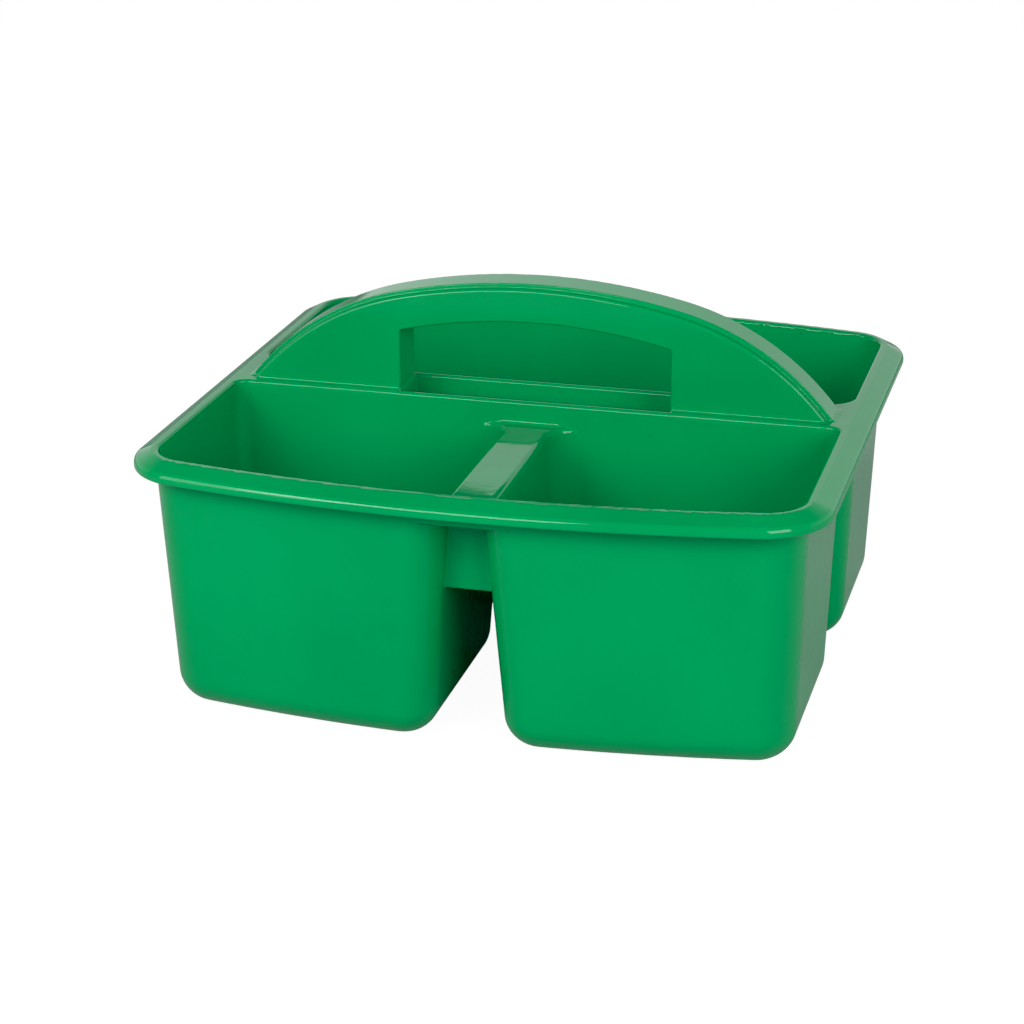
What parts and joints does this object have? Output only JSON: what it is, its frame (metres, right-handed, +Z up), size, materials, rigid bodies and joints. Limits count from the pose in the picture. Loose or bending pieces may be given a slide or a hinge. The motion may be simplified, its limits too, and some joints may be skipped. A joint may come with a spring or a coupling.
{
  "type": "cleaning caddy",
  "caption": "Open-top plastic cleaning caddy with front and rear bins, a rolled rim and a hollow arched carrying handle with a grip opening.",
  "frame": {"origin": "centre of the base, on the surface that the caddy stands on", "axes": "+X to the right along the handle, +Y to the rear bin, +Z up; the two small bins are at the front, -Y"},
  "size_m": [0.235, 0.235, 0.1332],
  "materials": {
    "body_plastic": "smooth, glossy injection-moulded polypropylene, emerald green"
  },
  "bodies": {
    "root": {"front_left_bin": "body_plastic", "front_right_bin": "body_plastic", "rear_bin": "body_plastic", "bridge": "body_plastic", "rim": "body_plastic", "handle_base": "body_plastic", "handle_front_panel": "body_plastic", "handle_rear_panel": "body_plastic", "handle_crown": "body_plastic", "grip_left_end": "body_plastic", "grip_right_end": "body_plastic", "front_web": "body_plastic", "left_web": "body_plastic", "right_web": "body_plastic"}
  },
  "joints": []
}
